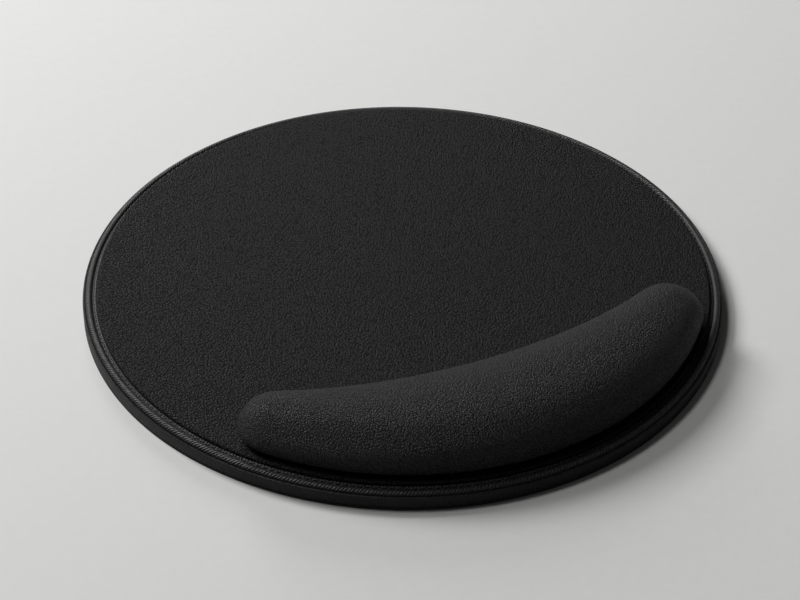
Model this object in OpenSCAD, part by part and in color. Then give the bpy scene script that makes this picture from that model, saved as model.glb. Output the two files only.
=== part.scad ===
// Round mouse mat with a crescent wrist rest.
// Millimetres, +Z up. The origin is the centre of the underside, and the user sits on the -Y side.

/* [Mat] */
// Outside diameter of the mat
mat_d = 230; // [210:1:270]
// Thickness of the non-slip base sheet
base_t = 1; // [0.7:0.1:3]
// Thickness of the stiffening board
board_t = 1.2; // [0.8:0.1:3]
// Thickness of the foam layer under the top panel
foam_t = 4.5; // [3.5:0.1:8]
// Thickness of the leatherette top panel
panel_t = 0.9; // [0.6:0.1:1.5]
// How far the panel's turned-down edge stands above the binding's flange
panel_step = 1.35; // [1.1:0.05:1.8]
// Rounding of the panel's turned-down edge
panel_round = 0.8; // [0.3:0.05:1]

/* [Side band] */
// Thickness of the leatherette band round the side
band_t = 0.9; // [0.6:0.1:1.2]
// Rounding of the outer edges of the band and of the base sheet
edge_round = 0.3; // [0.1:0.05:0.4]
// Width of the butt seam where the band's two ends meet
band_seam_w = 0.3; // [0.1:0.1:1]
// Direction of the band's seam from +X, counter-clockwise, in degrees
band_seam_at = 70; // [30:5:150]

/* [Corded edge] */
// Diameter of the filler cord
cord_d = 1.4; // [1.1:0.1:2]
// Thickness of the binding strip wrapped round the cord
binding_t = 0.6; // [0.4:0.1:0.8]
// How far the corded bead stands above its flange
bead_rise = 0.3; // [0.1:0.05:0.6]
// Bare width of the flange, from the panel's edge to the bead's inner side
flange_bare_w = 1.15; // [0.9:0.05:2]
// Whole width of the binding's upper flange, from its hidden edge to the bead's inner side
flange_w = 3.7; // [3.2:0.1:6]
// Whole width of the lower flange, which is trimmed back so that the two edges don't make a ridge
under_flange_w = 2.8; // [2.2:0.1:6]

/* [Stitching] */
// Diameter of the needle thread
thread_d = 0.4; // [0.2:0.05:0.5]
// Distance from one stitch to the next
stitch_pitch = 2.5; // [2:0.1:5]
// Bare gap between two stitches, where the thread goes down its hole
stitch_gap = 0.6; // [0.4:0.1:1.5]
// Depth that the tight thread presses into the flange
stitch_depth = 0.25; // [0.1:0.05:0.3]
// Gap between the seam's threads and the bead's inner side
stitch_inset = 0.05; // [0.05:0.05:0.2]
// Diameter of the bobbin thread under the seam
bobbin_d = 0.4; // [0.2:0.05:0.6]

/* [Wrist rest] */
// Width of the rest at its middle
rest_w = 47.5; // [42:0.5:58]
// Radius of the rest's inner side, facing the mouse
rest_inner_r = 204; // [180:1:260]
// Radius of the rest's two round ends
rest_nose_r = 13; // [12.5:0.1:16]
// Height of the rest above the top panel
rest_h = 16.5; // [12:0.5:24]
// Height of the rest's widest level above the top panel
rest_side_h = 3; // [2.5:0.1:5]
// How far the rest pulls in under its widest level
rest_tuck = 2.2; // [1:0.1:2.8]
// How much lower the rest's crown is at its ends than at its middle
rest_drop = 2.8; // [0:0.1:4]
// How far the rest's widest level stays inside the panel's edge
rest_gap = 1.1; // [0.4:0.1:4]
// Thickness of the rest's leatherette cover
cover_t = 0.8; // [0.6:0.1:1.2]
// Width of the cover's hem, glued under the rest's board
hem_w = 8; // [5:0.5:8.5]
// Thickness of the rest's board
rest_board_t = 1; // [0.6:0.1:1.4]
// Gap between the hem's cut edge and the mounting tape
tape_gap = 1; // [0.2:0.1:1]

/* [Fits] */
// Clearance between glued or pressed layers that lie side by side
fit = 0.05; // [0.02:0.01:0.2]

/* [Hidden] */
$fn = 96;

slack = 0.01;            // overlap of a cut with the face that it opens
arc_steps = 36;          // facets along each long side of the rest
nose_steps = 16;         // facets round each end of the rest
dome_steps = 9;          // rings from the rest's widest level to its crown
tuck_steps = 4;          // rings from the widest level down to the foot
crown = 86;              // where the domed rings stop and the crown is closed, in degrees

leatherette = "#1c1c1d";
thread = "#101010";
core_foam = "#3a3a3c";
cord_grey = "#8a8a88";
board_brown = "#6e5a45";
rubber_black = "#141414";
tape_white = "#d8d8d2";

mat_r = mat_d / 2;
base_top = base_t;
board_top = base_top + board_t;
foam_top = board_top + foam_t;
panel_top = foam_top + panel_t;

// The corded bead: the binding strip round its cord, with its two flanges one on the other
band_in = mat_r - band_t;
flange_top = panel_top - panel_step;
under_flange_top = flange_top - binding_t;
under_flange_z = under_flange_top - binding_t;
bead_r = cord_d / 2 + binding_t;
bead_at = band_in - fit - bead_r;
bead_z = flange_top + bead_rise - bead_r;
bead_in = bead_at - bead_r;
flange_in = bead_in - flange_w;
under_flange_in = bead_in - under_flange_w;

// The panel's edge is turned down onto the flange, and the band's top edge is level with the cord
panel_r = bead_in - flange_bare_w;
panel_skirt_in = panel_r - panel_t;
band_top = bead_z - fit;

// One line of lockstitch beside the bead: needle thread on top, bobbin thread below
stitch_at = bead_in - stitch_inset - max(thread_d, bobbin_d) / 2;
stitch_z = flange_top - stitch_depth + thread_d / 2;
stitch_count = round(360 / (2 * asin(stitch_pitch / 2 / stitch_at)));
stitch_l = stitch_pitch - stitch_gap;
bobbin_z = under_flange_z - bobbin_d / 2 - fit;

// Plan of the rest: an outer arc about the mat's centre, an inner arc about [0, inner_y] and two round ends
rest_or = panel_r - rest_gap;
inner_y = rest_inner_r - (rest_or - rest_w);
nose_reach = rest_or - rest_nose_r;
nose_y = (pow(nose_reach, 2) - pow(rest_inner_r + rest_nose_r, 2) + pow(inner_y, 2)) / (2 * inner_y);
nose_x = sqrt(pow(nose_reach, 2) - pow(nose_y, 2));
outer_half = 90 + atan2(nose_y, nose_x);
inner_half = 90 + atan2(nose_y - inner_y, nose_x);
nose_turn = 180 - outer_half + inner_half;

// The spine: the arc through both nose centres and the middle of the rest, which carries the crown
spine_mid = rest_w / 2 - rest_or;
spine_y = (pow(nose_x, 2) + pow(nose_y, 2) - pow(spine_mid, 2)) / (2 * (nose_y - spine_mid));
spine_r = spine_y - spine_mid;
spine_half = atan2(nose_x, spine_y - nose_y);

// Levels of the rest's layers
hem_top = panel_top + cover_t;
rest_board_top = hem_top + rest_board_t;
rest_wide_z = panel_top + rest_side_h;
core_in = cover_t + fit;
core_side_h = rest_side_h - core_in;

function polar(a) = [cos(a), sin(a)];

// Half of the rest's outline, drawn in by inset: half a nose, the outer or the inner arc, half a nose
function outer_side(inset) = [
    for (k = [nose_steps / 2:nose_steps - 1])
        [-nose_x, nose_y] + (rest_nose_r - inset) * polar(90 - inner_half + nose_turn * k / nose_steps),
    for (k = [0:arc_steps])
        (rest_or - inset) * polar(-90 + outer_half * (2 * k / arc_steps - 1)),
    for (k = [1:nose_steps / 2 - 1])
        [nose_x, nose_y] + (rest_nose_r - inset) * polar(-90 + outer_half + nose_turn * k / nose_steps)
];
function inner_side(inset) = [
    for (k = [nose_steps / 2:nose_steps - 1])
        [nose_x, nose_y] + (rest_nose_r - inset) * polar(-90 + outer_half + nose_turn * k / nose_steps),
    for (k = [0:arc_steps])
        [0, inner_y] + (rest_inner_r + inset) * polar(-90 + inner_half * (1 - 2 * k / arc_steps)),
    for (k = [1:nose_steps / 2 - 1])
        [-nose_x, nose_y] + (rest_nose_r - inset) * polar(90 - inner_half + nose_turn * k / nose_steps)
];
function outline(inset) = concat(outer_side(inset), inner_side(inset));

// The point of the spine that a point of the outline belongs to
function spine_turn(p) = min(spine_half, max(-spine_half, atan2(p[0], spine_y - p[1])));
function spine_point(p) = [0, spine_y] + spine_r * polar(spine_turn(p) - 90);

// A level ring of the rest, drawn in by inset
function level_ring(inset, z) = [for (p = outline(inset)) [p[0], p[1], z]];

// A ring of the dome: a is 0 at the widest level and 90 on the crown, and the crown drops towards the ends
function dome_height(x, top) = top - rest_wide_z - rest_drop * pow(x / nose_x, 2);
function dome_ring(inset, top, a) = [
    for (p = outline(inset))
        let (s = spine_point(p), q = s + cos(a) * (p - s))
            [q[0], q[1], rest_wide_z + dome_height(s[0], top) * sin(a)]
];
function dome(inset, top) = [for (j = [1:dome_steps]) dome_ring(inset, top, crown * j / dome_steps)];

// Rings of the tucked-in side, from turn a degrees under the widest level up to that level
function tuck(inset, side_h, a) = [
    for (j = [0:tuck_steps])
        let (t = a * (1 - j / tuck_steps))
            level_ring(inset + rest_tuck * (1 - cos(t)), rest_wide_z - side_h * sin(t))
];

// Skins a stack of equal rings into one closed solid; the first and last rings are closed across
function reversed(f) = [for (i = [len(f) - 1:-1:0]) f[i]];
function closed_across(first, n) = [
    [first, first + 1, first + n - 1],
    for (k = [1:n / 2 - 2]) each [
        [first + k, first + k + 1, first + n - k],
        [first + k + 1, first + n - k - 1, first + n - k]
    ],
    [first + n / 2 - 1, first + n / 2, first + n / 2 + 1]
];
function skin_between(a, b, n) = [
    for (k = [0:n - 1])
        let (m = (k + 1) % n)
            each [[a + k, b + k, b + m], [a + k, b + m, a + m]]
];
module skinned(rings) {
    n = len(rings[0]);
    count = len(rings);
    faces = concat(
        closed_across(0, n),
        [for (j = [0:count - 2]) each skin_between(j * n, (j + 1) * n, n)],
        [for (f = closed_across((count - 1) * n, n)) reversed(f)]
    );
    polyhedron([for (ring = rings) each ring], faces);
}

// What rounding takes off the outer corner of a profile; up is 1 at the top and -1 at the bottom
module corner_off(x, z, up, r = edge_round) {
    difference() {
        translate([x - r, up > 0 ? z - r : z - slack])
            square(r + slack);
        translate([x - r, z - up * r])
            circle(r, $fn = 32);
    }
}

module ring_section(x0, x1, z0, z1) {
    translate([x0, z0])
        square([x1 - x0, z1 - z0]);
}

module at_bead(r) {
    translate([bead_at, bead_z])
        circle(r);
}

// Non-slip rubber sheet under the whole mat
module base_sheet() {
    color(rubber_black)
        rotate_extrude()
            difference() {
                ring_section(0, mat_r, 0, base_top);
                corner_off(mat_r, 0, -1);
                corner_off(mat_r, base_top, 1);
            }
}

// Hard board that keeps the mat flat
module stiffener_board() {
    color(board_brown)
        translate([0, 0, base_top])
            cylinder(r = band_in - fit, h = board_t);
}

// Foam layer, stepped down round its edge, and recessed for the bead, its flanges and the bobbin thread
module mat_foam() {
    color(core_foam)
        rotate_extrude()
            difference() {
                union() {
                    ring_section(0, band_in - fit, board_top, under_flange_z);
                    ring_section(0, panel_skirt_in, board_top, foam_top);
                }
                at_bead(bead_r + fit);
                ring_section(flange_in - fit, bead_at, under_flange_top, flange_top);
                ring_section(under_flange_in - fit, bead_at, under_flange_z, under_flange_top + slack);
                ring_section(stitch_at - bobbin_d / 2 - fit, stitch_at + bobbin_d / 2 + fit,
                             bobbin_z - bobbin_d / 2 - fit, under_flange_z + slack);
            }
}

// Leatherette disc that the mouse runs on; its edge is turned down over the foam onto the flange
module top_panel() {
    color(leatherette)
        rotate_extrude()
            difference() {
                union() {
                    ring_section(0, panel_r, foam_top, panel_top);
                    ring_section(panel_skirt_in, panel_r, flange_top, panel_top);
                }
                corner_off(panel_r, panel_top, 1, panel_round);
            }
}

// Leatherette band round the side, butted end to end at the back
module side_band() {
    color(leatherette)
        difference() {
            rotate_extrude()
                difference() {
                    ring_section(band_in, mat_r, base_top, band_top);
                    corner_off(mat_r, base_top, -1);
                    corner_off(mat_r, band_top, 1);
                }
            rotate([0, 0, band_seam_at])
                translate([band_in - slack, -band_seam_w / 2, base_top - slack])
                    cube([band_t + 2 * slack, band_seam_w, band_top - base_top + 2 * slack]);
        }
}

// Strip folded round the cord; its two flanges run in under the panel's edge, one on the other
module edge_binding() {
    color(leatherette)
        rotate_extrude()
            difference() {
                union() {
                    at_bead(bead_r);
                    ring_section(flange_in, bead_at, under_flange_top, flange_top);
                    ring_section(under_flange_in, bead_at, under_flange_z, flange_top);
                }
                at_bead(cord_d / 2);
                translate([stitch_at, flange_top])
                    circle(stitch_depth, $fn = 32);
            }
}

// Round filler cord inside the bead
module binding_cord() {
    color(cord_grey)
        rotate_extrude()
            at_bead(cord_d / 2 - slack);
}

// Needle thread: one short solid for each stitch, in the groove beside the bead
module rim_stitches() {
    color(thread)
        for (k = [0:stitch_count - 1])
            rotate([0, 0, 360 * k / stitch_count])
                translate([stitch_at, stitch_l / 2, stitch_z + slack])
                    rotate([90, 0, 0])
                        cylinder(d = thread_d, h = stitch_l, $fn = 16);
}

// Bobbin thread: the seam's second thread, along the underside of the lower flange
module bobbin_thread() {
    color(thread)
        rotate_extrude()
            translate([stitch_at, bobbin_z])
                circle(d = bobbin_d, $fn = 16);
}

// Leatherette cover of the rest: a domed shell whose hem turns in under the board.
// Its rings run from the crown down the inside, round the hem's cut edge and up the outside.
module rest_cover() {
    inside = concat(tuck(cover_t, rest_side_h - cover_t, 90), dome(cover_t, panel_top + rest_h - cover_t));
    outside = concat(tuck(0, rest_side_h, 90), dome(0, panel_top + rest_h));
    cut_edge = [level_ring(rest_tuck + hem_w, hem_top), level_ring(rest_tuck + hem_w, panel_top)];
    color(leatherette)
        skinned(concat(reversed(inside), cut_edge, outside));
}

// Moulded foam core, domed like the cover and flat underneath
module rest_foam() {
    foot_turn = asin((rest_wide_z - rest_board_top - fit) / core_side_h);
    color(core_foam)
        skinned(concat(tuck(core_in, core_side_h, foot_turn), dome(core_in, panel_top + rest_h - core_in)));
}

// Thin board that the cover is drawn tight over
module rest_board() {
    color(board_brown)
        translate([0, 0, hem_top])
            linear_extrude(rest_board_t)
                polygon(outline(cover_t + rest_tuck + fit));
}

// Double-sided mounting tape that holds the rest to the top panel, inside the hem
module rest_tape() {
    color(tape_white)
        translate([0, 0, panel_top])
            linear_extrude(cover_t)
                polygon(outline(rest_tuck + hem_w + tape_gap));
}

base_sheet();
stiffener_board();
mat_foam();
top_panel();
side_band();
edge_binding();
binding_cord();
rim_stitches();
bobbin_thread();
rest_cover();
rest_foam();
rest_board();
rest_tape();
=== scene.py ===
"""A round leatherette mouse mat with a crescent wrist rest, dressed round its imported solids.

The file follows the mat as it is made up: base, board, foam, side band, corded edge and its seam, top
panel, and then the wrist rest that is taped on top. Lengths are metres, +Z is up, and the user
sits on the -Y side.
"""

import math

import bmesh
import bpy
from mathutils import Matrix, Vector


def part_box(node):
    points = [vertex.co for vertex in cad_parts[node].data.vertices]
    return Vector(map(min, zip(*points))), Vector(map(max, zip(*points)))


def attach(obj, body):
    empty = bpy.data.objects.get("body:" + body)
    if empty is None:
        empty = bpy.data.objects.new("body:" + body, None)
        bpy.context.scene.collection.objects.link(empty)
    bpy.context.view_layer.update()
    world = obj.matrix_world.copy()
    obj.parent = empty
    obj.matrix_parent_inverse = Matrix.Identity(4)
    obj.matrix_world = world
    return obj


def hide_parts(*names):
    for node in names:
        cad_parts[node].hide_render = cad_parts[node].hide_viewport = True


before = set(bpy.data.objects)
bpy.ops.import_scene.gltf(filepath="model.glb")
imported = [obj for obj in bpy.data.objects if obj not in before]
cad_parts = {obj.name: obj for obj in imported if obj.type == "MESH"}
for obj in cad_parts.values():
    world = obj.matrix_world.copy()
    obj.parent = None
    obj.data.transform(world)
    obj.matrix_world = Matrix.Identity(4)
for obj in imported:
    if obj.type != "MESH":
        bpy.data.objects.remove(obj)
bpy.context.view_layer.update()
MM = 0.001

# ---- Base sheet ---------------------------------------------------------------------------------
# The real piece is a black rubber sheet, glued under the whole mat. Its edges are softened, and its
# underside is moulded with low round studs inside a flat border, so that the mat doesn't slide.

_, base_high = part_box("base_sheet")
mat_r = base_high.x
ROUND_STEPS = 720
EDGE_STEPS = 6
MERGE_AT = 0.0001 * MM
BASE_EDGE = 0.3 * MM
STUD_RELIEF = 0.3 * MM
STUD_R = 1.1 * MM
STUD_TIP_R = 0.935 * MM
STUD_SIDES = 10
STUD_PITCH = 4.0 * MM
STUD_BORDER = 4.0 * MM


class Section:
    """A cross-section drawn in the XZ plane from point to point, and then turned about Z."""

    def __init__(self, r, z):
        self.mesh = bmesh.new()
        self.first = self.tip = self.mesh.verts.new((r, 0, z))

    def line(self, r, z):
        """Goes straight to radius r and height z."""
        made = bmesh.ops.extrude_vert_indiv(self.mesh, verts=[self.tip])
        self.tip = made["verts"][0]
        self.tip.co = (r, 0, z)
        return self

    def arc(self, r, z, turn, steps):
        """Goes round the centre (r, z) by turn degrees, which are positive from +X towards +Z."""
        made = bmesh.ops.spin(
            self.mesh,
            geom=[self.tip],
            cent=(r, 0, z),
            axis=(0, -1, 0),
            angle=math.radians(turn),
            steps=steps,
            use_merge=False,
        )
        self.tip = next(g for g in made["geom_last"] if isinstance(g, bmesh.types.BMVert))
        return self

    def closed(self):
        """Goes straight back to the first point."""
        self.mesh.edges.new((self.tip, self.first))
        return self

    def turned(self, steps=ROUND_STEPS, turn=360.0):
        """The mesh that the section sweeps when it is turned about Z by turn degrees."""
        bmesh.ops.spin(
            self.mesh,
            geom=self.mesh.verts[:] + self.mesh.edges[:],
            cent=(0, 0, 0),
            axis=(0, 0, 1),
            angle=math.radians(turn),
            steps=steps,
            use_merge=turn == 360.0,
        )
        bmesh.ops.remove_doubles(self.mesh, verts=self.mesh.verts, dist=MERGE_AT)
        bmesh.ops.recalc_face_normals(self.mesh, faces=self.mesh.faces)
        return self.mesh


def feed(tree, socket, value):
    """Links a wire to a shader's socket, or sets the socket to a plain value."""
    if isinstance(value, Wire):
        tree.links.new(value.socket, socket)
    else:
        socket.default_value = value


class Wire:
    """An output of a shader node. Arithmetic on it adds Math nodes to the same material."""

    def __init__(self, tree, socket):
        self.tree = tree
        self.socket = socket

    def node(self, kind, settings=None, inputs=None, output=0):
        """Adds a node: its settings first, then a value or a link for each socket named."""
        node = self.tree.nodes.new(kind)
        for name, value in (settings or {}).items():
            setattr(node, name, value)
        for name, value in (inputs or {}).items():
            feed(self.tree, node.inputs[name], value)
        return Wire(self.tree, node.outputs[output])

    def math(self, operation, *others):
        """A Math node with this as its first value."""
        return self.node("ShaderNodeMath", {"operation": operation}, dict(enumerate((self, *others))))

    def __add__(self, other):
        return self.math("ADD", other)

    def __sub__(self, other):
        return self.math("SUBTRACT", other)

    def __rsub__(self, other):
        return self * -1.0 + other

    def __mul__(self, other):
        return self.math("MULTIPLY", other)

    def __truediv__(self, other):
        return self.math("DIVIDE", other)

    def __pow__(self, other):
        return self.math("POWER", other)

    __radd__ = __add__
    __rmul__ = __mul__

    def between(self, low, high):
        """0 below low and 1 above high, with a soft step from one to the other."""
        settings = {"interpolation_type": "SMOOTHSTEP"}
        inputs = {"Value": self, "From Min": low, "From Max": high}
        return self.node("ShaderNodeMapRange", settings, inputs)

    def apart(self):
        """The x, y and z of these coordinates, as three values."""
        return [self.node("ShaderNodeSeparateXYZ", None, {"Vector": self}, axis) for axis in "XYZ"]

    def stretched(self, x, y, z):
        """These coordinates with each axis multiplied by its own factor."""
        return self.node("ShaderNodeMapping", None, {"Vector": self, "Scale": (x, y, z)})

    def turned(self, degrees):
        """These coordinates turned about their own Z."""
        turn = (0, 0, math.radians(degrees))
        return self.node("ShaderNodeMapping", None, {"Vector": self, "Rotation": turn})

    def noise(self, size, detail=2.0, rough=0.5):
        """Even cloudy noise from 0 to 1, with blotches of about this size."""
        inputs = {"Vector": self, "Scale": 1 / size, "Detail": detail, "Roughness": rough}
        return self.node("ShaderNodeTexNoise", None, inputs)

    def wandering(self, size, reach):
        """These coordinates pushed about by noise blotches of this size, by up to half of reach."""
        vector_math = "ShaderNodeVectorMath"
        inputs = {"Vector": self, "Scale": 1 / size, "Detail": 1.0}
        push = self.node("ShaderNodeTexNoise", None, inputs, output="Color")
        centred = self.node(vector_math, {"operation": "SUBTRACT"}, {0: push, 1: (0.5, 0.5, 0.5)})
        scaled = self.node(vector_math, {"operation": "SCALE"}, {0: centred, "Scale": reach})
        return self.node(vector_math, {"operation": "ADD"}, {0: self, 1: scaled})

    def cells(self, size, feature="F1"):
        """Distance from the nearest of many scattered points, or from the edge between two."""
        inputs = {"Vector": self, "Scale": 1 / size}
        return self.node("ShaderNodeTexVoronoi", {"feature": feature}, inputs)

    def colour(self, low, high):
        """A colour between two, where this value goes from 0 to 1."""
        # A Mix node's sockets share names: 0 takes the factor, 6 and 7 the colours, and 2 gives one.
        inputs = {0: self, 6: (*low, 1), 7: (*high, 1)}
        return self.node("ShaderNodeMix", {"data_type": "RGBA"}, inputs, output=2)

    def bump(self, depth):
        """A normal from this height, whose 0 to 1 stands for depth."""
        return self.node("ShaderNodeBump", None, {"Height": self, "Distance": depth, "Strength": 1.0})


def finish(name, paint):
    """A new material: paint gets the piece's own coordinates and gives the shader's socket values."""
    material = bpy.data.materials.new(name)
    material.use_nodes = True
    tree = material.node_tree
    place = Wire(tree, None).node("ShaderNodeTexCoord", output="Object")
    shader = next(n for n in tree.nodes if n.type == "BSDF_PRINCIPLED")
    for socket, value in paint(place).items():
        feed(tree, shader.inputs[socket], value)
    return material


def baked(name, mesh):
    """The mesh that a bmesh has built. The bmesh is let go."""
    data = bpy.data.meshes.new(name)
    mesh.to_mesh(data)
    mesh.free()
    return data


def in_scene(name, data):
    """A new object in the scene, which stands unturned at the origin."""
    made = bpy.data.objects.new(name, data)
    bpy.context.scene.collection.objects.link(made)
    return made


def coat(data, material):
    """Gives a mesh smooth shading and this material alone."""
    for polygon in data.polygons:
        polygon.use_smooth = True
    data.materials.clear()
    data.materials.append(material)


def piece(name, mesh, material, slot, *nodes):
    """Turns a bmesh into a piece that rides on the mat and stands for these CAD nodes."""
    made = in_scene(name, baked(name, mesh))
    coat(made.data, material)
    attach(made, "root")
    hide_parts(*nodes)


def moulded_rubber(place):
    """Matt black rubber with a fine uneven skin and a little dust in it."""
    skin = place.noise(0.5 * MM, detail=3.0)
    dust = place.noise(9 * MM, detail=4.0, rough=0.6).between(0.45, 0.75)
    return {
        "Base Color": dust.colour((0.012, 0.012, 0.012), (0.020, 0.020, 0.019)),
        "Roughness": 0.70 + 0.15 * skin,
        "Specular IOR Level": 0.35,
        "Normal": skin.bump(0.05 * MM),
    }


def studded_sheet():
    """The sheet: a border all round at desk level, and a field set back by the studs' height."""
    field_r = mat_r - STUD_BORDER
    sheet = Section(0, STUD_RELIEF)
    sheet.line(field_r - STUD_RELIEF, STUD_RELIEF).line(field_r, 0)
    sheet.line(mat_r - BASE_EDGE, 0).arc(mat_r - BASE_EDGE, BASE_EDGE, 90, EDGE_STEPS)
    sheet.line(mat_r, base_high.z - BASE_EDGE)
    sheet.arc(mat_r - BASE_EDGE, base_high.z - BASE_EDGE, 90, EDGE_STEPS)
    sheet.line(0, base_high.z)
    return sheet.turned()


def add_studs(mesh):
    """Rows of low round studs, each row set off by half a pitch from the last."""
    reach = mat_r - STUD_BORDER - 2 * STUD_R
    row_pitch = STUD_PITCH * math.sqrt(3) / 2
    rows = int(reach / row_pitch)
    for row in range(-rows, rows + 1):
        y = row * row_pitch
        half = math.sqrt(reach * reach - y * y)
        shift = STUD_PITCH / 2 if row % 2 else 0.0
        studs = bmesh.new()
        for k in range(int(-half / STUD_PITCH) - 1, int(half / STUD_PITCH) + 2):
            x = k * STUD_PITCH + shift
            if abs(x) > half:
                continue
            bmesh.ops.create_cone(
                studs,
                cap_ends=False,
                segments=STUD_SIDES,
                radius1=STUD_TIP_R,
                radius2=STUD_R,
                depth=STUD_RELIEF,
                matrix=Matrix.Translation((x, y, STUD_RELIEF / 2)),
            )
        rims = [e for e in studs.edges if max(v.co.z for v in e.verts) < STUD_RELIEF / 4]
        bmesh.ops.holes_fill(studs, edges=rims, sides=STUD_SIDES)
        kept = baked("stud_row", studs)
        mesh.from_mesh(kept)
        bpy.data.meshes.remove(kept)


base_mesh = studded_sheet()
add_studs(base_mesh)
RUBBER = finish("moulded_rubber", moulded_rubber)
piece("base_sheet_skin", base_mesh, RUBBER, "base_rubber", "base_sheet")

# ---- Stiffener board ----------------------------------------------------------------------------
# A thin disc of brown hardboard, glued to the base sheet, keeps the mat flat. It is wholly enclosed,
# so its CAD solid is right as it is and gets only its finish.


def hardboard(place):
    """Brown pressed fibre: fine strands that lie flat, with darker flecks."""
    fibres = place.stretched(1, 1, 6).noise(1.2 * MM, detail=6.0, rough=0.7)
    flecks = place.cells(3 * MM).between(0.05, 0.25)
    tone = fibres.between(0.35, 0.65) * flecks
    return {
        "Base Color": tone.colour((0.09, 0.055, 0.032), (0.20, 0.13, 0.08)),
        "Roughness": 0.60 + 0.2 * fibres,
        "Normal": fibres.bump(0.06 * MM),
    }


def dress(node, material):
    """Gives a CAD node that is kept as it is its material."""
    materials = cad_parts[node].data.materials
    materials.clear()
    materials.append(material)


HARDBOARD = finish("hardboard", hardboard)
dress("stiffener_board", HARDBOARD)

# ---- Foam layer ---------------------------------------------------------------------------------
# Dark open-cell foam between the board and the top panel makes the mat soft. It is glued on both
# faces and is stepped down round its edge for the corded edge, so its CAD solid is kept.


def open_cell_foam(place):
    """Dark grey foam: small round pores of two sizes."""
    pores = place.cells(0.6 * MM).between(0.1, 0.6)
    large = place.cells(1.5 * MM).between(0.1, 0.3)
    walls = pores * large
    return {
        "Base Color": walls.colour((0.010, 0.010, 0.011), (0.060, 0.060, 0.064)),
        "Roughness": 0.85 + 0.1 * walls,
        "Normal": walls.bump(0.2 * MM),
    }


FOAM = finish("open_cell_foam", open_cell_foam)
dress("mat_foam", FOAM)

# ---- Side band ----------------------------------------------------------------------------------
# A strip of black leatherette is glued round the side, butted end to end at the back. It was drawn
# tight as it was glued, so its grain is pressed smooth and runs in faint upright strokes.

band_low, band_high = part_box("side_band")
BAND_T = 0.9 * MM
BAND_ROUND = 0.3 * MM
BAND_GRAIN = 0.7 * MM
BAND_RELIEF = 0.30 * MM
STROKE_W = 0.60 * MM
STROKE_STRETCH = 0.16
BUTT_SEAM_W = 0.3 * MM
BUTT_SEAM_AT = 70.0


def pebbles(place, grain):
    """Embossed leather grain, 0 in its valleys to 1 on top: uneven pebbles of about this size."""
    loose = place.wandering(grain * 1.5, grain * 0.7).wandering(grain * 0.4, grain * 0.25)
    pebble = 1 - loose.cells(grain).between(0.15, 0.8)
    crease = loose.cells(grain, "DISTANCE_TO_EDGE").between(0.0, 0.22)
    return 0.45 * pebble + 0.55 * crease


def way_round(x, y, radius):
    """How far round the mat a place lies, in metres at this radius, from the middle of the front."""
    return x.math("ARCTAN2", y * -1.0) * radius


def laid_flat(along, across):
    """Coordinates on a strip that goes round the mat, as if it were laid out flat."""
    return along.node("ShaderNodeCombineXYZ", None, {"X": along, "Y": across})


def band_leatherette(place):
    """Tightly drawn leatherette: the grain is flattened, with faint strokes across the strip."""
    x, y, z = place.apart()
    strip = laid_flat(way_round(x, y, mat_r), z * STROKE_STRETCH)
    strokes = strip.noise(STROKE_W, detail=3.0, rough=0.6)
    height = 0.7 * strokes.between(0.25, 0.75) + 0.3 * pebbles(place, BAND_GRAIN)
    # Darker where the strokes and grain lie low: painted shade in their hollows, mixed with random tone
    # from the broad noise.
    valley_shade_and_tone = (0.5 * height + 0.5 * place.noise(9 * MM)).between(0.2, 0.8)
    return {
        "Base Color": valley_shade_and_tone.colour((0.0034, 0.0034, 0.0036), (0.0135, 0.0135, 0.0140)),
        "Roughness": 0.60 - 0.14 * strokes,
        "Specular IOR Level": 0.24,
        "Normal": height.bump(BAND_RELIEF),
    }


band = Section(mat_r - BAND_T, band_low.z)
band.line(mat_r - BAND_ROUND, band_low.z)
band.arc(mat_r - BAND_ROUND, band_low.z + BAND_ROUND, 90, EDGE_STEPS)
band.line(mat_r, band_high.z - BAND_ROUND)
band.arc(mat_r - BAND_ROUND, band_high.z - BAND_ROUND, 90, EDGE_STEPS)
band.line(mat_r - BAND_T, band_high.z).closed()
seam_turn = math.degrees(BUTT_SEAM_W / mat_r)
band_mesh = band.turned(turn=360.0 - seam_turn)
bmesh.ops.holes_fill(band_mesh, edges=[e for e in band_mesh.edges if e.is_boundary])
from_seam = Matrix.Rotation(math.radians(BUTT_SEAM_AT + seam_turn / 2), 3, "Z")
bmesh.ops.rotate(band_mesh, matrix=from_seam, verts=band_mesh.verts)
bmesh.ops.recalc_face_normals(band_mesh, faces=band_mesh.faces)
BAND_LEATHERETTE = finish("band_leatherette", band_leatherette)
piece("side_band_skin", band_mesh, BAND_LEATHERETTE, "edge_leatherette", "side_band")

# ---- Corded edge --------------------------------------------------------------------------------
# A bias-cut strip of thin leatherette is folded round a cotton cord. Its two flanges run in under the
# panel's edge. The seam pulls them down into a crease close beside the cord, most at every hole.

binding_low, binding_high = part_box("edge_binding")
cord_low, cord_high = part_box("binding_cord")
_, thread_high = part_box("rim_stitches")
cord_r = (cord_high.z - cord_low.z) / 2
bead_r = (binding_high.z - binding_low.z) / 2
bead_at = binding_high.x - bead_r
bead_z = binding_high.z - bead_r
BINDING_T = 0.6 * MM
BEAD_RISE = 0.3 * MM
FLANGE_W = 3.7 * MM
UNDER_FLANGE_W = 2.8 * MM
FOLD_GAP = 0.04 * MM
CUT_ROUND = 0.2 * MM
GROOVE_R = 0.25 * MM
GROOVE_TURN = 130
CREASE_DEPTH = 0.75 * MM
FOLD_DIP = 0.3 * MM
STITCH_PITCH = 2.5 * MM
STITCH_GAP = 1.1 * MM
THREAD_R = 0.25 * MM
STEPS_PER_STITCH = 6
LENGTHS_MERGE_AT = 0.005 * MM
HOLE_PULL = 0.25 * MM
HOLE_REACH = 0.6 * MM
RIDGE_PITCH = 1.2 * MM
RIDGE_LEAN = -0.9
RIDGE_SLANT = 42
PUCKER_W = 0.60 * MM
PUCKER_STRETCH = 0.15
BINDING_GRAIN = 0.6 * MM
BINDING_RELIEF = 0.25 * MM
flange_top = binding_high.z - BEAD_RISE
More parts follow.
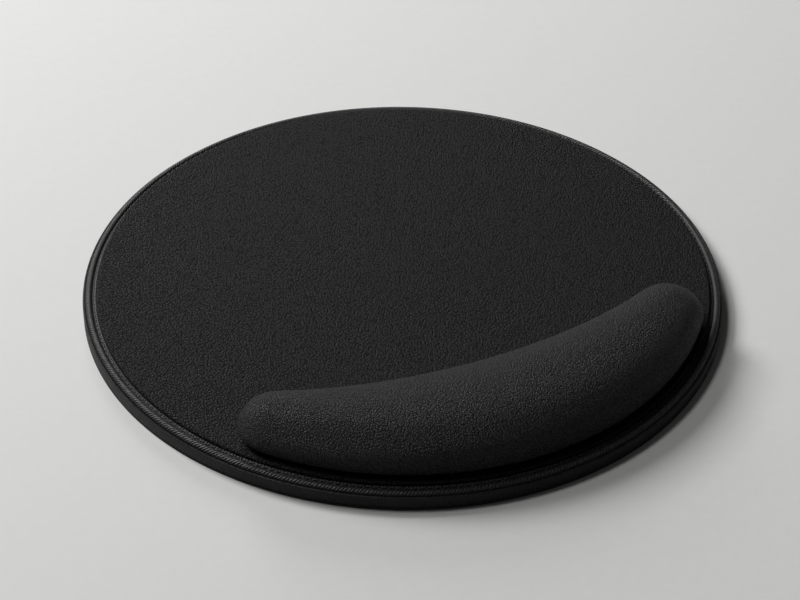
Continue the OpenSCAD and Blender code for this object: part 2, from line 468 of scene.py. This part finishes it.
fold_z = flange_top - BINDING_T
under_flange_z = fold_z - BINDING_T
bead_in = bead_at - bead_r
flange_in = bead_in - FLANGE_W
under_flange_in = bead_in - UNDER_FLANGE_W
stitch_at = thread_high.x - THREAD_R
stitch_count = round(180 / math.degrees(math.asin(STITCH_PITCH / 2 / stitch_at)))


def inner_turn(z, radius):
    """The angle round the bead's centre, from +X over the top, of its inner side at height z."""
    return 180.0 - math.degrees(math.asin((z - bead_z) / radius))


def inner_r(z, radius):
    """How far out from the mat's centre that inner side lies at height z."""
    return bead_at - math.sqrt(radius**2 - (z - bead_z) ** 2)


def folded_strip():
    """One stitch's length of the strip: outside over the bead, and back between its two flanges."""
    crease_z = flange_top - CREASE_DEPTH
    over, under = inner_turn(crease_z, bead_r), inner_turn(under_flange_z, bead_r) - 360
    slit_top, slit_low = fold_z + FOLD_GAP / 2, fold_z - FOLD_GAP / 2
    dip_top, dip_low = slit_top - FOLD_DIP, slit_low - FOLD_DIP
    strip = Section(flange_in, slit_top)
    strip.line(flange_in, flange_top - CUT_ROUND)
    strip.arc(flange_in + CUT_ROUND, flange_top - CUT_ROUND, -90, steps=2)
    strip.line(stitch_at - 3 * GROOVE_R, flange_top).line(stitch_at - GROOVE_R, flange_top)
    strip.arc(stitch_at, flange_top, GROOVE_TURN, steps=4)
    strip.line(inner_r(crease_z, bead_r), crease_z).arc(bead_at, bead_z, under - over, steps=26)
    strip.line(under_flange_in, under_flange_z).line(under_flange_in, slit_low)
    strip.line(stitch_at - 2 * FOLD_DIP, slit_low).line(stitch_at, dip_low)
    strip.line(inner_r(dip_low, cord_r), dip_low)
    inside_turn = 360 + inner_turn(dip_top, cord_r) - inner_turn(dip_low, cord_r)
    strip.arc(bead_at, bead_z, inside_turn, steps=10)
    strip.line(stitch_at, dip_top).line(stitch_at - 2 * FOLD_DIP, slit_top).closed()
    return strip.turned(steps=STEPS_PER_STITCH, turn=360 / stitch_count)


def pull_at_holes(mesh):
    """Draws the flange's top down round every needle hole, which is where two stitches meet."""
    pitch = 2 * math.pi / stitch_count
    for vertex in mesh.verts:
        r = math.hypot(vertex.co.x, vertex.co.y)
        if vertex.co.z < fold_z + BINDING_T / 2 or r > bead_at:
            continue
        phase = math.atan2(vertex.co.y, vertex.co.x) / pitch
        across = abs(phase - math.floor(phase) - 0.5) * pitch * stitch_at
        along = STITCH_PITCH / 2 - across
        near = 1 - math.hypot(along, r - stitch_at) / HOLE_REACH
        if near > 0:
            vertex.co.z -= HOLE_PULL * near * near * (3 - 2 * near)


def binding_leatherette(place):
    """Thin leatherette cut on the bias: the cord's ridges show through it, slanting round the bead."""
    x, y, z = place.apart()
    out = (x * x + y * y) ** 0.5
    along = way_round(x, y, bead_at)
    over = (z - bead_z).math("ARCTAN2", out - bead_at) * bead_r
    slanted = laid_flat(along, over).turned(RIDGE_SLANT)
    puckers = slanted.stretched(1, PUCKER_STRETCH, 1).noise(PUCKER_W)
    turns = (along + over * RIDGE_LEAN) / RIDGE_PITCH + 0.5 * puckers
    ridges = 0.5 + 0.5 * (turns * (2 * math.pi)).math("SINE")
    height = 0.65 * ridges + 0.20 * puckers.between(0.3, 0.7) + 0.15 * pebbles(place, BINDING_GRAIN)
    # Darker between the cord's ridges and in the puckers and grain: painted shade in the hollows, mixed
    # with random tone from the broad noise.
    valley_shade_and_tone = (0.7 * height + 0.3 * place.noise(7 * MM)).between(0.15, 0.85)
    return {
        "Base Color": valley_shade_and_tone.colour((0.0040, 0.0040, 0.0042), (0.0200, 0.0200, 0.0206)),
        "Roughness": 0.58 - 0.20 * height,
        "Specular IOR Level": 0.32,
        "Normal": height.bump(BINDING_RELIEF),
    }


def all_round(single):
    """Copies of this mesh at every stitch, all the way round the mat."""
    pattern = baked("pattern", single)
    step = Matrix.Rotation(2 * math.pi / stitch_count, 4, "Z")
    row = bmesh.new()
    for _ in range(stitch_count):
        row.from_mesh(pattern)
        pattern.transform(step)
    bpy.data.meshes.remove(pattern)
    return row


one_length = folded_strip()
pull_at_holes(one_length)
strip_mesh = all_round(one_length)
bmesh.ops.remove_doubles(strip_mesh, verts=strip_mesh.verts, dist=LENGTHS_MERGE_AT)
bmesh.ops.recalc_face_normals(strip_mesh, faces=strip_mesh.faces)
BINDING_LEATHERETTE = finish("binding_leatherette", binding_leatherette)
piece("edge_binding_skin", strip_mesh, BINDING_LEATHERETTE, "edge_leatherette", "edge_binding")


def cotton_cord(place):
    """Grey cotton piping cord: fine twisted strands."""
    strands = place.noise(0.35 * MM, detail=4.0, rough=0.7)
    return {
        "Base Color": strands.colour((0.14, 0.14, 0.13), (0.32, 0.32, 0.30)),
        "Roughness": 0.85 + 0.1 * strands,
        "Normal": strands.bump(0.1 * MM),
    }


dress("binding_cord", finish("cotton_cord", cotton_cord))

# ---- Seam ---------------------------------------------------------------------------------------
# Black polyester thread, sewn in lockstitch through both flanges close beside the bead: short
# two-ply stitches on top, with the bobbin thread along the underside.

STITCH_RINGS = 8
STITCH_SIDES = 8
STITCH_FLATNESS = 0.68
STITCH_TWIST = 46
STITCH_DIP = 1.7 * THREAD_R
stitch_length = STITCH_PITCH - STITCH_GAP + 2 * THREAD_R
stitch_z = thread_high.z - THREAD_R


def sewing_thread(place):
    """Black polyester thread with a dull lustre and a fine fuzz."""
    fuzz = place.noise(0.12 * MM, detail=3.0, rough=0.7)
    return {
        "Base Color": fuzz.colour((0.024, 0.024, 0.024), (0.048, 0.048, 0.048)),
        "Roughness": 0.40 + 0.2 * fuzz,
        "Specular IOR Level": 0.50,
        "Normal": fuzz.bump(0.03 * MM),
    }


def one_stitch():
    """One stitch, laid along Y at +X: a twisted flat oval, whose ends dip into the needle holes."""
    stitch = bmesh.new()
    upright = Matrix.Rotation(math.radians(90), 4, "X")
    flattened = Matrix.Diagonal((1.0, 1.0, STITCH_FLATNESS, 1.0))
    oval = Matrix.Translation((0, -stitch_length / 2, -STITCH_DIP)) @ flattened @ upright
    bmesh.ops.create_circle(stitch, cap_ends=True, segments=STITCH_SIDES, radius=THREAD_R, matrix=oval)
    twist = Matrix.Rotation(math.radians(STITCH_TWIST), 3, "Y")
    tip = stitch.faces[:]
    for k in range(1, STITCH_RINGS):
        grown = bmesh.ops.extrude_face_region(stitch, geom=tip)["geom"]
        bmesh.ops.delete(stitch, geom=tip, context="FACES_ONLY")
        tip = [g for g in grown if isinstance(g, bmesh.types.BMFace)]
        ring = [g for g in grown if isinstance(g, bmesh.types.BMVert)]
        share = k / (STITCH_RINGS - 1)
        centre = sum((v.co for v in ring), Vector()) / len(ring)
        goal = Vector((0, (share - 0.5) * stitch_length, -STITCH_DIP * abs(2 * share - 1) ** 3))
        bmesh.ops.rotate(stitch, cent=centre, matrix=twist, verts=ring)
        bmesh.ops.translate(stitch, vec=goal - centre, verts=ring)
    bmesh.ops.recalc_face_normals(stitch, faces=stitch.faces)
    bmesh.ops.translate(stitch, vec=(stitch_at, 0, stitch_z), verts=stitch.verts)
    return stitch


THREAD = finish("sewing_thread", sewing_thread)
piece("rim_stitches_twisted", all_round(one_stitch()), THREAD, "thread", "rim_stitches")
dress("bobbin_thread", THREAD)

# ---- Top panel ----------------------------------------------------------------------------------
# The mouse runs on a disc of matt black leatherette, embossed with a fine pebble grain and glued to
# the foam. Its edge is turned down over the foam, tight enough to round it off, onto the flange.

panel_low, panel_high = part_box("top_panel")
PANEL_T = 0.9 * MM
PANEL_ROUND = 0.8 * MM
PANEL_ROLL_W = 3.0 * MM
PANEL_ROLL = 0.06 * MM
MAT_GRAIN = 0.88 * MM
MAT_RELIEF = 0.56 * MM
MAT_PATCHES = 11 * MM
PORES = 0.42 * MM
panel_r = panel_high.x


def embossing(place, grain, patch_size):
    """Grain with fine pores: its height, the patches where it took unevenly, and a tone that paints
    shade into its valleys.
    """
    patches = place.noise(patch_size, detail=3.0, rough=0.6)
    height = 0.80 * pebbles(place, grain) + 0.20 * place.noise(PORES, detail=1.0)
    # The tone is darker where the grain lies low: painted shade in its valleys, mixed with the patches'
    # random tone.
    valley_shade_and_tone = (0.75 * height + 0.25 * patches).between(0.2, 0.8)
    return height, patches, valley_shade_and_tone


def mat_leatherette(place):
    """The panel's leatherette: matt and almost black, with a fine even grain."""
    height, patches, valley_shade_and_tone = embossing(place, MAT_GRAIN, MAT_PATCHES)
    return {
        # Painted shade: the grain's valleys take the darker colour.
        "Base Color": valley_shade_and_tone.colour((0.0020, 0.0020, 0.0021), (0.0180, 0.0180, 0.0185)),
        "Roughness": 0.80 - 0.28 * height + 0.08 * patches,
        "Specular IOR Level": 0.14,
        "Normal": height.bump(MAT_RELIEF),
    }


panel = Section(0, panel_high.z)
panel.line(panel_r - PANEL_ROUND - PANEL_ROLL_W, panel_high.z)
panel.line(panel_r - PANEL_ROUND - PANEL_ROLL_W / 3, panel_high.z - PANEL_ROLL / 3)
panel.line(panel_r - PANEL_ROUND, panel_high.z - PANEL_ROLL)
panel.arc(panel_r - PANEL_ROUND, panel_high.z - PANEL_ROLL - PANEL_ROUND, -90, steps=8)
panel.line(panel_r, panel_low.z).line(panel_r - PANEL_T, panel_low.z)
panel.line(panel_r - PANEL_T, panel_high.z - PANEL_T).line(0, panel_high.z - PANEL_T)
MAT_LEATHERETTE = finish("mat_leatherette", mat_leatherette)
piece("top_panel_skin", panel.turned(), MAT_LEATHERETTE, "mat_leatherette", "top_panel")

# ---- Wrist rest ---------------------------------------------------------------------------------
# A moulded foam crescent on a thin board, covered in one piece of soft leatherette with a deeper
# grain. The cover is drawn over, its hem is glued under the board, and tape holds it to the panel.

rest_low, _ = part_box("rest_cover")
REST_GRAIN = 0.72 * MM
REST_RELIEF = 0.82 * MM
REST_PATCHES = 13 * MM
EVEN_MESH = 1.3 * MM
CLEAR_OF_FOAM = 0.70 * MM
TINY = 0.001 * MM
FILL_REACH = 0.35 * MM
FILL_SCALE = 10.0
FILL_PRESSURE = 4.0
FILL_FRAMES = 20


def rest_leatherette(place):
    """The rest's softer leatherette: greyer than the panel's, its grain a little smaller and deeper."""
    height, patches, valley_shade_and_tone = embossing(place, REST_GRAIN, REST_PATCHES)
    return {
        # Painted shade: the grain's valleys take the darker colour.
        "Base Color": valley_shade_and_tone.colour((0.0056, 0.0056, 0.0058), (0.0310, 0.0310, 0.0319)),
        "Roughness": 0.68 - 0.26 * height + 0.06 * patches,
        "Specular IOR Level": 0.22,
        "Normal": height.bump(REST_RELIEF),
    }


def settle(made):
    """Applies every modifier of a piece to its mesh."""
    depsgraph = bpy.context.evaluated_depsgraph_get()
    data = bpy.data.meshes.new_from_object(made.evaluated_get(depsgraph), depsgraph=depsgraph)
    made.modifiers.clear()
    old, made.data = made.data, data
    bpy.data.meshes.remove(old)


def smooth(made, times):
    """Evens out a piece's surface."""
    axes = {"use_axis_x": True, "use_axis_y": True, "use_axis_z": True}
    mesh = bmesh.new()
    mesh.from_mesh(made.data)
    for _ in range(times):
        bmesh.ops.smooth_vert(mesh, verts=mesh.verts, factor=0.5, **axes)
    mesh.to_mesh(made.data)
    mesh.free()


def keep_outside(made, node):
    """Brings every point of the cover at least as far out as it can lie over this solid."""
    wrap = made.modifiers.new("keep outside", "SHRINKWRAP")
    wrap.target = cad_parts[node]
    wrap.wrap_method = "NEAREST_SURFACEPOINT"
    wrap.wrap_mode = "OUTSIDE"
    wrap.offset = CLEAR_OF_FOAM
    settle(made)


def slack_cover():
    """The cover before it is filled: a closed skin that lies just outside the foam and its board."""
    form = bmesh.new()
    for node in ("rest_foam", "rest_board"):
        form.from_mesh(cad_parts[node].data)
    bmesh.ops.remove_doubles(form, verts=form.verts, dist=TINY)
    made = in_scene("rest_cover_skin", baked("rest_cover_skin", form))
    remesh = made.modifiers.new("even", "REMESH")
    remesh.mode = "VOXEL"
    remesh.voxel_size = EVEN_MESH
    settle(made)
    smooth(made, times=4)
    grown = made.modifiers.new("clear", "DISPLACE")
    grown.strength = CLEAR_OF_FOAM
    grown.mid_level = 0.0
    settle(made)
    keep_outside(made, "rest_foam")
    return made


def fill(made):
    """Pressure inside drives the cover outwards from where it lies, by no more than it can give.

    The cloth is worked out at a larger scale, because the solver is coarse for so small a piece.
    """
    start = [v.co.copy() for v in made.data.vertices]
    outwards = [v.normal.copy() for v in made.data.vertices]
    for vertex in made.data.vertices:
        vertex.co *= FILL_SCALE
    cloth = made.modifiers.new("fill", "CLOTH")
    cloth.settings.use_pressure = True
    cloth.settings.uniform_pressure_force = FILL_PRESSURE
    cloth.settings.effector_weights.gravity = 0.0
    cloth.point_cache.frame_end = FILL_FRAMES
    for step in range(1, FILL_FRAMES + 1):
        bpy.context.scene.frame_set(step)
    settle(made)
    bpy.context.scene.frame_set(1)
    for vertex, origin, outward in zip(made.data.vertices, start, outwards):
        move = vertex.co / FILL_SCALE - origin
        move -= outward * min(0.0, move.dot(outward))
        vertex.co = origin + move * min(1.0, FILL_REACH / max(move.length, TINY))


cover = slack_cover()
fill(cover)
keep_outside(cover, "rest_foam")
keep_outside(cover, "rest_board")
smooth(cover, times=1)
for vertex in cover.data.vertices:
    vertex.co.z = max(vertex.co.z, rest_low.z)
subdivision = cover.modifiers.new("finer", "SUBSURF")
subdivision.levels = subdivision.render_levels = 1
settle(cover)
coat(cover.data, finish("rest_leatherette", rest_leatherette))
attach(cover, "root")
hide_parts("rest_cover")


def foam_tape(place):
    """White closed-cell tape with fine bubbles."""
    bubbles = place.cells(0.3 * MM).between(0.1, 0.5)
    return {
        "Base Color": bubbles.colour((0.50, 0.50, 0.47), (0.68, 0.68, 0.64)),
        "Roughness": 0.70 + 0.1 * bubbles,
        "Normal": bubbles.bump(0.05 * MM),
    }


dress("rest_foam", FOAM)
dress("rest_board", HARDBOARD)
dress("rest_tape", finish("foam_tape", foam_tape))

# ---- Studio -------------------------------------------------------------------------------------
# A pale desk top under three soft lamps. The key light stands behind the mat and to its left, a
# weaker one low behind it, and a small steep one on its left lights the rim in front of the rest.

FLOOR_R = 1.1
FLOOR_SIDES = 96
FLOOR_FADES = 0.25
SKY = 0.035
SKY_COLOUR = (1.0, 1.0, 0.99, 1)
BACKDROP = 0.72
CAMERA_AZIMUTH = 24.7
CAMERA_ELEVATION = 37.7
CAMERA_DISTANCE = 0.80
CAMERA_ROLL = 0.78
CAMERA_LENS = 99.2
CAMERA_SENSOR = 36.0
CAMERA_SHIFT_X = -0.0037
CAMERA_SHIFT_Y = -0.0101
CAMERA_NEAR = 0.01


def pale_floor(place):
    """A plain off-white desk top, which fades into the background far from the mat."""
    grain = place.noise(4 * MM, detail=3.0)
    far = place.node("ShaderNodeVectorMath", {"operation": "LENGTH"}, {0: place}, output="Value")
    return {
        "Base Color": grain.colour((0.72, 0.72, 0.71), (0.76, 0.76, 0.75)),
        "Roughness": 0.80 + 0.1 * grain,
        "Specular IOR Level": 0.2,
        "Alpha": 1 - far.between(FLOOR_FADES, FLOOR_R),
    }


floor_mesh = bmesh.new()
bmesh.ops.create_circle(floor_mesh, cap_ends=True, segments=FLOOR_SIDES, radius=FLOOR_R)
floor = in_scene("floor", baked("floor", floor_mesh))
floor.data.materials.append(finish("pale_floor", pale_floor))


def standing_at(azimuth, elevation, distance):
    """A place round the mat: azimuth 0 is the user's side and 90 is on the mat's left."""
    a, e = math.radians(azimuth), math.radians(elevation)
    return distance * Vector((-math.sin(a) * math.cos(e), -math.cos(a) * math.cos(e), math.sin(e)))


def lamp(name, turn, elevation, distance, size, power):
    """A square soft box that faces the mat, at a turn from the camera that is positive to its left."""
    light = bpy.data.lights.new(name, "AREA")
    light.shape = "SQUARE"
    light.size = size
    light.energy = power
    made = in_scene(name, light)
    made.location = standing_at(CAMERA_AZIMUTH + turn, elevation, distance)
    made.rotation_euler = (-made.location).to_track_quat("-Z", "Y").to_euler()


lamp("key", turn=124, elevation=38, distance=2.0, size=0.7, power=32.8)
lamp("back", turn=164, elevation=21, distance=2.4, size=0.9, power=21.0)
lamp("top", turn=102, elevation=64, distance=2.0, size=0.5, power=8.5)

world = bpy.data.worlds.new("studio")
bpy.context.scene.world = world
world.use_nodes = True
background = world.node_tree.nodes["Background"]
background.inputs["Color"].default_value = SKY_COLOUR
seen = Wire(world.node_tree, None).node("ShaderNodeLightPath", output="Is Camera Ray")
feed(world.node_tree, background.inputs["Strength"], seen * (BACKDROP - SKY) + SKY)

camera_data = bpy.data.cameras.new("camera")
camera_data.sensor_width = CAMERA_SENSOR
camera_data.lens = CAMERA_LENS
camera_data.shift_x = CAMERA_SHIFT_X
camera_data.shift_y = CAMERA_SHIFT_Y
camera_data.clip_start = CAMERA_NEAR
camera = in_scene("camera", camera_data)
camera.location = standing_at(CAMERA_AZIMUTH, CAMERA_ELEVATION, CAMERA_DISTANCE)
aim = (-camera.location).to_track_quat("-Z", "Y").to_matrix()
camera.rotation_euler = (aim @ Matrix.Rotation(math.radians(CAMERA_ROLL), 3, "Z")).to_euler()
bpy.context.scene.camera = camera
bpy.context.scene.view_settings.view_transform = "Standard"
